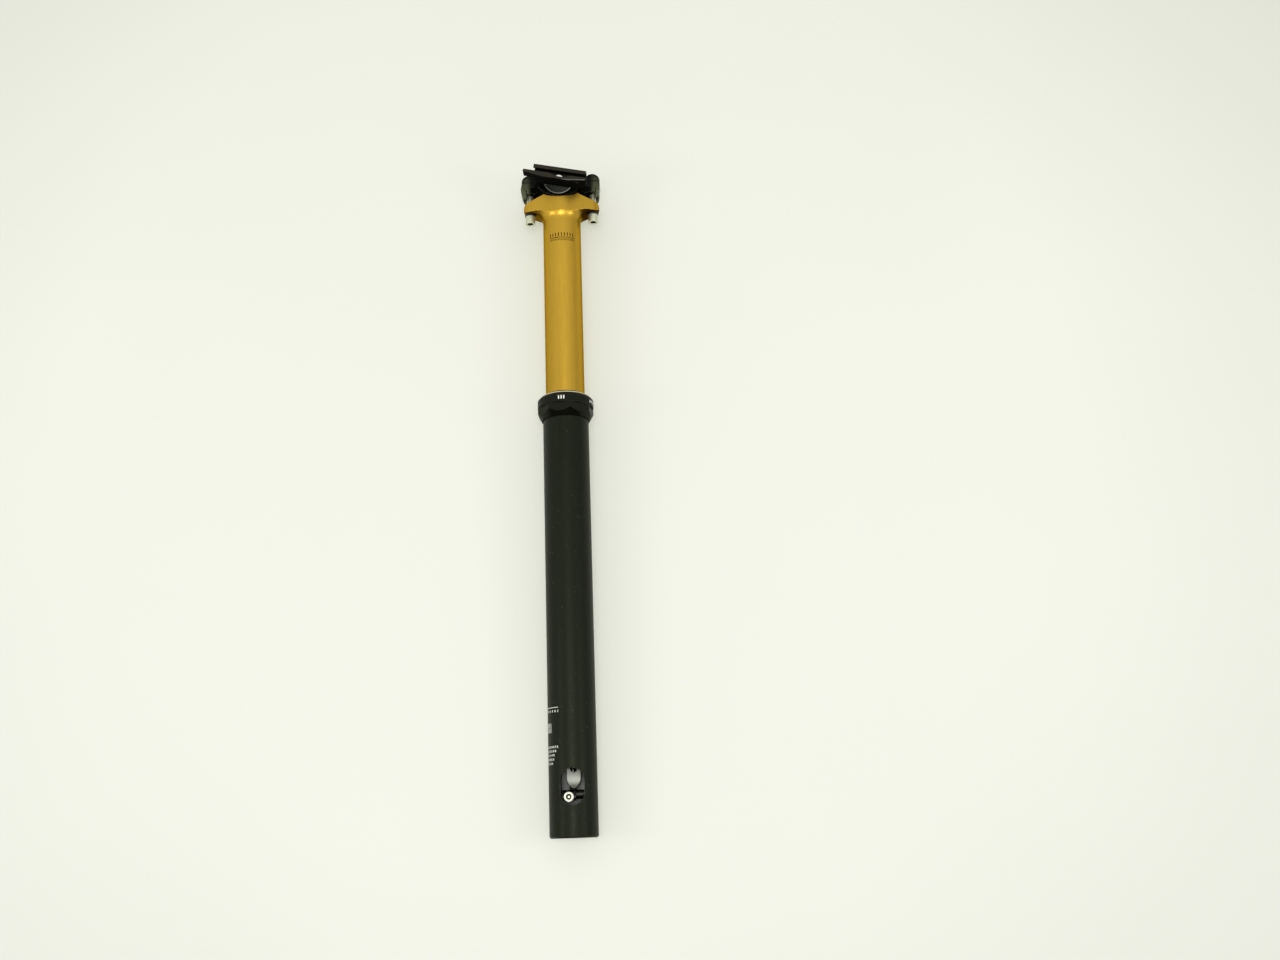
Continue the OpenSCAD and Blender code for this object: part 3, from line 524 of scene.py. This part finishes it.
def lit_outside_group():
    """Mask that rises away from the middle of the part, towards the front and the rear."""
    tree, given, result = new_group("lit_outside", {"From": 19 * MM, "To": 22 * MM}, ["Mask"])
    put(tree, spread(tree, size_of(tree, axes(tree)["X"]), given["From"], given["To"]), result["Mask"])
    return tree


LIT_OUTSIDE = lit_outside_group()


def light_arms(finish, *masks):
    """Paint the outside of a finish lighter, as lit, where all the given masks are set too."""
    tree = finish.node_tree
    outside = use(tree, LIT_OUTSIDE, From=ARM_FROM * MM, To=ARM_TO * MM)["Mask"]
    lit_tone = blend(tree, ramp(tree, axes(tree)["Z"], *ARM_HEIGHTS), *ARM_LIGHT_TONES)
    lay_over(finish, times(tree, outside, *masks), lit_tone)


# The arms are painted lighter outside, as lit, most of all low down
light_arms(clamp, ramp(tree, out, *ARM_SIDES))
print("group:", LIT_OUTSIDE.name)

# %% [markdown]
# The end of the cradle has a half-moon relief: its dish is painted a dull lit grey, and its rim a pale painted
# highlight.
# The rim could be one more ring of faces, but its edge is a circle in the tilted coordinates, so the distance from the
# circle's centre gives both the dish and the rim. The painted light fades towards the rear.

# %% Half-moon relief
MOON_DISH_LIGHT, MOON_RIM_HIGHLIGHT = (0.030, 0.032, 0.028), (0.27, 0.28, 0.25)
MOON_ALONG, MOON_UP, MOON_SIDES, MOON_TOP = 1.0, -10.2, ((15.9, 16.1), (17.3, 17.1)), (-15.0, -15.2)
DISH_EDGE, DISH_FADE = (10.0, 9.8), (-8, 6, 0.35, 1.0)
RIM_EDGES, RIM_FADE = ((9.7, 9.95), (10.75, 10.5)), (-9, 7, 0.25, 1.0)
moon = times(tree, band(tree, out, *MOON_SIDES), ramp(tree, up, *MOON_TOP))
off_centre = radius_from(tree, along, MOON_ALONG, up, MOON_UP)
dish = times(tree, ramp(tree, off_centre, *DISH_EDGE), ramp(tree, along, *DISH_FADE))
rim = times(tree, band(tree, off_centre, *RIM_EDGES), ramp(tree, along, *RIM_FADE))
# Painted light on the dish, and a painted highlight on its rim
lay_over(clamp, times(tree, moon, dish), MOON_DISH_LIGHT)
lay_over(clamp, times(tree, moon, rim), MOON_RIM_HIGHLIGHT)
print("half moon at", (MOON_ALONG, MOON_UP), "mm")

# %% [markdown]
# The lip on the bars' ends catches the light as one thin pale line, a painted highlight. A thin strip of mesh could lie
# there, but a narrow band beside the lip's own line can't come loose from it.

# %% Painted lip highlight
LIP_HIGHLIGHT, LIP_SHARE = (0.13, 0.135, 0.122), 0.9
LIP_OUT, LIP_WIDTH, LIP_ENDS = (26.2, 26.5), (0.5, 0.2), ((2, 6), (21.2, 20.4))
lip = times(tree, ramp(tree, out, *LIP_OUT), ramp(tree, size_of(tree, over_lip), *LIP_WIDTH),
            band(tree, along, *LIP_ENDS))
# A thin painted highlight along the lip
lay_over(clamp, lip, LIP_HIGHLIGHT, LIP_SHARE)
print("finishes:", list(FINISH))

# %% [markdown]
# ## Steel, alloy and bearing metals
# Bolts are bright plated steel, with rings from the lathe. Hidden shafts are ground along their length.
# Bronze and brass are softer and warmer, and the lever is blasted bare alloy. Each could have a cell of its own, but
# they differ only in the recipe's values, so one table and one loop make them all. The nuts then get the same painted
# light as the arms round them.

# %% Bright and coloured metals
METALS = {
    "steel_bolt": dict(dark=(0.53, 0.54, 0.41), light=(0.67, 0.68, 0.52), worn=(0.79, 0.79, 0.64), metallic=0.8,
                       rough=(0.36, 0.5), stretch=(0.4, 0.4, 3)),
    "black_steel": dict(dark=(0.010, 0.010, 0.010), light=(0.020, 0.020, 0.019), worn=(0.14, 0.14, 0.13), metallic=0.3,
                        rough=(0.3, 0.45), scale=1200.0, wear=0.7),
    "nut_steel": dict(dark=(0.001, 0.001, 0.001), light=(0.002, 0.002, 0.002), worn=(0.03, 0.03, 0.028), metallic=0.0,
                      rough=(0.25, 0.4), scale=1200.0, stretch=(1, 0.4, 1), wear=0.7, specular=0.08),
    "grey_housing": dict(dark=(0.008, 0.009, 0.006), light=(0.016, 0.018, 0.012), worn=(0.10, 0.105, 0.085),
                         metallic=0.2, rough=(0.34, 0.46), stretch=(0.4, 0.4, 3), bump=0.06),
    "silver": dict(dark=(0.44, 0.45, 0.41), light=(0.58, 0.59, 0.54), worn=(0.7, 0.7, 0.66), metallic=1.0,
                   rough=(0.38, 0.5), scale=1500.0, bump=0.08),
    "steel_rod": dict(dark=(0.26, 0.26, 0.25), light=(0.36, 0.36, 0.35), worn=(0.5, 0.5, 0.5), metallic=1.0,
                      rough=(0.22, 0.32), stretch=(1, 1, 0.1), wear=0.4, bump=0.03),
    "spring_steel": dict(dark=(0.36, 0.36, 0.37), light=(0.52, 0.52, 0.53), worn=(0.7, 0.7, 0.7), metallic=1.0,
                         rough=(0.2, 0.32), scale=1200.0, wear=0.4, bump=0.04),
    "bronze": dict(dark=(0.40, 0.26, 0.10), light=(0.54, 0.37, 0.16), worn=(0.7, 0.52, 0.25), metallic=1.0,
                   rough=(0.34, 0.5), scale=1600.0, wear=0.4, bump=0.08),
    "brass": dict(dark=(0.55, 0.38, 0.12), light=(0.68, 0.49, 0.18), worn=(0.8, 0.62, 0.3), metallic=1.0,
                  rough=(0.22, 0.36), scale=1000.0, stretch=(0.5, 0.5, 2), wear=0.4),
}
for name, look in METALS.items():
    metal_finish(name, **look)
# The nuts get the same painted light as the arms
light_arms(FINISH["nut_steel"])
print("finishes:", list(METALS))

# %% [markdown]
# ## Bolts and cable screw
# The clamp bolts are bright, but painted shade darkens their sockets and threads, and a little painted shade dulls the
# shank above the head. The cable screw has the same steel, with painted shade in its socket round a bright middle.
# Three finishes could be split by faces, but the distance from each axis finds the same places without cutting the
# solids.

# %% Painted shade in sockets and on threads
GREASE_AND_SHADE, SHANK_SHADE = (0.010, 0.010, 0.008), (0.10, 0.105, 0.045)
BOLT_X, SOCKET_RADII, SOCKET_HEIGHTS = 22.8, (2.40, 2.25), (151.2, 151.5)
SHANK_HEIGHTS, SHANK_SHARE, THREAD_HEIGHTS = (160, 164), 0.2, (172.8, 173.6)
SCREW_X, SCREW_Z, WELL_RADII, WELL_SHARE = -2.4, -253.6, ((0.5, 0.75), (2.0, 1.8)), 0.985
bolt = FINISH["steel_bolt"]
tree = bolt.node_tree
place = axes(tree)
off_bolt = radius_from(tree, size_of(tree, place["X"]), BOLT_X, place["Y"], 0.0)
off_screw = radius_from(tree, place["X"], SCREW_X, place["Z"], SCREW_Z)
socket = times(tree, ramp(tree, off_bolt, *SOCKET_RADII), ramp(tree, place["Z"], *SOCKET_HEIGHTS))
# Painted shade on the shank, in the sockets, on the threads and in the cable screw's socket
lay_over(bolt, ramp(tree, place["Z"], *SHANK_HEIGHTS), SHANK_SHADE, SHANK_SHARE)
lay_over(bolt, maths(tree, "MAXIMUM", socket, ramp(tree, place["Z"], *THREAD_HEIGHTS)), GREASE_AND_SHADE, GREASE_AND_SHADE_SHARE)
lay_over(bolt, band(tree, off_screw, *WELL_RADII), GREASE_AND_SHADE, WELL_SHARE)
print("greased:", bolt.name)

# %% [markdown]
# ## Behind the window
# The cable barrel is black with a bright end. The release lever is bright only at its tip: a painted shade darkens it
# downwards, and its hub and fork are blackened with grease and painted shade. The housing carries a pale painted sheen
# on one side, and the valve rod is darker at its foot. Each tone could be a slot of its own on some faces, but the
# tones run into each other, so they are ramps along the axes.

# %% Barrel, lever, housing and rod
BARREL_BRIGHT, LEVER_SHADE, HOUSING_SHEEN = (0.6, 0.6, 0.55), (0.045, 0.049, 0.030), (0.060, 0.063, 0.050)
# Finish, colour and its share, then ramps: an axis, and the millimetres from which and to which the mark comes in
# Painted shade on the lever below its tip, grease and painted shade on its hub and fork, a pale painted sheen on the
# housing
MARKS = (
    ("black_steel", BARREL_BRIGHT, 1.0, (("Y", -12.3, -12.45),)),
    ("silver", GREASE_AND_SHADE, GREASE_AND_SHADE_SHARE, (("Z", -262, -260), ("Z", -248.6, -249.2))),
    ("silver", LEVER_SHADE, 0.88, (("Z", -248.8, -248.6), ("Z", -243.2, -246.8))),
    ("grey_housing", HOUSING_SHEEN, 0.9, (("X", 4.4, 6.4), ("Z", -240, -247))),
    ("steel_rod", GREASE_AND_SHADE, 0.9, (("Z", -226, -230),)),
)
for name, colour, share, ramps in MARKS:
    tree = FINISH[name].node_tree
    place = axes(tree)
    mask = times(tree, *(ramp(tree, place[axis], from_mm, to_mm) for axis, from_mm, to_mm in ramps))
    lay_over(FINISH[name], mask, colour, share)
print("marks:", len(MARKS))

# %% [markdown]
# ## Rubber and bearing plastic
# Seals and bumpers are dull black rubber; the glide ring is a pale slippery plastic. They could have recipes of their
# own, but the same one serves, with no metal and more roughness. Then every piece gets the finish that its record
# names, so that none is left bare.

# %% Soft materials, and dressing all pieces
metal_finish("rubber", dark=(0.006, 0.006, 0.006), light=(0.014, 0.014, 0.013), worn=(0.03, 0.03, 0.028), metallic=0.0,
             rough=(0.6, 0.78), scale=1400.0, wear=0.3, bump=0.12, dust=0.3, specular=0.35)
metal_finish("pale_plastic", dark=(0.55, 0.52, 0.42), light=(0.66, 0.63, 0.53), worn=(0.72, 0.7, 0.62), metallic=0.0,
             rough=(0.4, 0.55), wear=0.3, dust=0.1)
for subpart in frame["record"]["subparts"]:
    dress(nodes[subpart["node"]], FINISH[subpart["material_slot"]])

# %% [markdown]
# ## The return spring
# The valve's return spring shortens when the lever lifts the rod, and a stiff coil would cut into the rod's flange.
# A copy of the coil stands for it: it rides on the lower body, and the imported spring is hidden.

# %% Return spring
coil = bpy.data.objects.new("valve_coil", nodes["valve_spring"].data.copy())
bpy.context.scene.collection.objects.link(coil)
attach(coil, "lower")
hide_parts("valve_spring")
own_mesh(coil)
dress(coil, FINISH["spring_steel"])

# %% [markdown]
# ## Camera
# The portrait is taken from the foot end, a little to the front, so the head looks smaller and the underside
# of the wings shows. The camera could be aimed at a point, but then its roll would be left to chance. So two vectors
# say how it is held, and a third one where it stands.

# %% Camera
CAMERA_AT = Vector((42.0, -860.9, -278.0)) * MM
LOOK_RIGHT = Vector((0.99942, 0.0, -0.0342))
LOOK_UP = Vector((0.0330, -0.26286, 0.9643))
FOCAL_PX, FRAME_PX = 1300.0, 1280.0
camera_data = bpy.data.cameras.new("camera")
camera_data.sensor_width = 36.0
camera_data.lens = camera_data.sensor_width * FOCAL_PX / FRAME_PX
camera_data.clip_start = 10 * MM
camera = bpy.data.objects.new("camera", camera_data)
bpy.context.scene.collection.objects.link(camera)
look_back = LOOK_RIGHT.cross(LOOK_UP).normalized()
turn = Matrix((LOOK_RIGHT, look_back.cross(LOOK_RIGHT), look_back)).transposed()
camera.matrix_world = Matrix.Translation(CAMERA_AT) @ turn.to_4x4()
bpy.context.scene.camera = camera
print("lens:", round(camera_data.lens, 2), "mm")

# %% [markdown]
# ## Sheet
# The post lies on a pale sheet, which in the part's own frame stands upright just behind it. A plain world colour
# could be the backdrop, but no shadow would fall on it. So the sheet is a large flat mesh, close behind the foot of
# the tube at one end and the saddle clamp at the other.

# %% Sheet under the post
SHEET_FOOT = Vector((0.0, 15.9, -279.0)) * MM
SHEET_HEAD = Vector((0.0, 27.2, 177.0)) * MM
SHEET_REACH = 1.6
sheet_mesh = bpy.data.meshes.new("pale_sheet")
sideways = Vector((SHEET_REACH, 0, 0))
lengthways = (SHEET_HEAD - SHEET_FOOT).normalized() * SHEET_REACH
middle = (SHEET_HEAD + SHEET_FOOT) / 2
corners = [middle + sideways * x + lengthways * z for x, z in ((-1, -1), (1, -1), (1, 1), (-1, 1))]
sheet_mesh.from_pydata(corners, [], [(0, 1, 2, 3)])
sheet = bpy.data.objects.new("pale_sheet", sheet_mesh)
bpy.context.scene.collection.objects.link(sheet)
print("sheet corners:", len(sheet_mesh.vertices))

# %% [markdown]
# Part of the sheet's brightness is a glow of its own, which only the eye and shiny metal see. The rest is lit, and so
# keeps the soft shadow. More lamps could brighten the sheet instead, but they would brighten the post too. The glow
# fades away from the middle, a painted falloff of light towards the edges. From behind, the sheet is clear, so that
# views of the other side are not blocked.

# %% Paper
PAPER_DARK, PAPER_LIGHT, PAPER_MOTTLE = (0.692, 0.684, 0.708), (0.704, 0.696, 0.720), 60.0
PAPER_ROUGH, PAPER_SHINE = 0.8, 0.1
GLOW_NEAR, GLOW_FAR, GLOW_SHARE = (0.898, 0.928, 0.715), (0.630, 0.665, 0.475), 0.4
GLOW_CENTRE, GLOW_REACH = (0.0, 0.02, 0.05), (0.36, 0.68)
paper = new_finish("pale_sheet")
tree, shader = paper.node_tree, shader_of(paper)
mottle = use(tree, GRAIN, Stretch=(1, 1, 1), Scale=PAPER_MOTTLE)["Broad"]
put(tree, blend(tree, mottle, PAPER_DARK, PAPER_LIGHT), shader.inputs["Base Color"])
put(tree, PAPER_ROUGH, shader.inputs["Roughness"])
put(tree, PAPER_SHINE, shader.inputs["Specular IOR Level"])
ray = add(tree, "ShaderNodeLightPath").outputs
seen = maths(tree, "MAXIMUM", ray["Is Camera Ray"], ray["Is Glossy Ray"])
seen = maths(tree, "MAXIMUM", seen, ray["Is Transmission Ray"])
spot = add(tree, "ShaderNodeVectorMath", {"operation": "DISTANCE"})
put(tree, here(tree), spot.inputs[0])
put(tree, GLOW_CENTRE, spot.inputs[1])
# The glow fades outwards, a painted falloff of light
fade = spread(tree, spot.outputs["Value"], *GLOW_REACH)
glow = add(tree, "ShaderNodeEmission", Color=blend(tree, fade, GLOW_NEAR, GLOW_FAR))
lit = add(tree, "ShaderNodeMixShader", Fac=times(tree, seen, GLOW_SHARE))
clear = add(tree, "ShaderNodeBsdfTransparent")
choose = add(tree, "ShaderNodeMixShader", Fac=add(tree, "ShaderNodeNewGeometry").outputs["Backfacing"])
for mixer, front, back in ((lit, shader, glow), (choose, lit, clear)):
    put(tree, front.outputs[0], mixer.inputs[1])
    put(tree, back.outputs[0], mixer.inputs[2])
put(tree, choose.outputs[0], tree.nodes["Material Output"].inputs["Surface"])
dress(sheet, paper)
print("paper glow:", GLOW_SHARE)

# %% [markdown]
# ## Room
# The room gives most of the light: its ceiling is pale and its walls are darker, most of all on the right, so round
# metal is bright along its middle and darker at its sides. A photographed room could wrap the scene, but two ramps
# along the axes of the world do the same without a picture.

# %% World
WALL_RIGHT, WALL_LEFT, CEILING = (0.50, 0.51, 0.47), (0.78, 0.80, 0.735), (0.955, 0.978, 0.895)
WALL_RANGE, CEILING_RANGE = (0.2, -0.8), (-0.1, -0.9)
world = bpy.data.worlds.new("pale_room")
bpy.context.scene.world = world
world.use_nodes = True
room = world.node_tree
direction = add(room, "ShaderNodeTexCoord").outputs["Generated"]
way = add(room, "ShaderNodeSeparateXYZ", Vector=direction).outputs
walls = blend(room, spread(room, way["X"], *WALL_RANGE), WALL_RIGHT, WALL_LEFT)
overhead = spread(room, way["Y"], *CEILING_RANGE)
put(room, blend(room, overhead, walls, CEILING), room.nodes["Background"].inputs["Color"])
bpy.context.scene.view_settings.view_transform = "Standard"
print("world:", world.name)

# %% [markdown]
# ## Lamps
# Three soft lamps hang over the sheet, one in the middle and one to each side: they make the highlights where the
# neck flares into the head. Point lamps could do it, but they would make hard dots there. So each lamp is a wide
# rectangle that looks at the mouth of the lower tube.

# %% Soft lamps
# Name, place and size in millimetres, watts
LAMPS = (("middle_lamp", (0, -1280, -250), (440, 260), 5.4),
         ("left_lamp", (-1000, -800, -250), (380, 260), 2.4),
         ("right_lamp", (1000, -800, -250), (380, 260), 2.4))
for name, place_mm, size_mm, watts in LAMPS:
    lamp = bpy.data.lights.new(name, "AREA")
    lamp.shape = "RECTANGLE"
    lamp.size, lamp.size_y = (side * MM for side in size_mm)
    lamp.energy = watts
    holder = bpy.data.objects.new(name, lamp)
    holder.location = Vector(place_mm) * MM
    holder.rotation_euler = (-Vector(place_mm)).normalized().to_track_quat("-Z", "Y").to_euler()
    bpy.context.scene.collection.objects.link(holder)
print("lamps:", len(LAMPS))
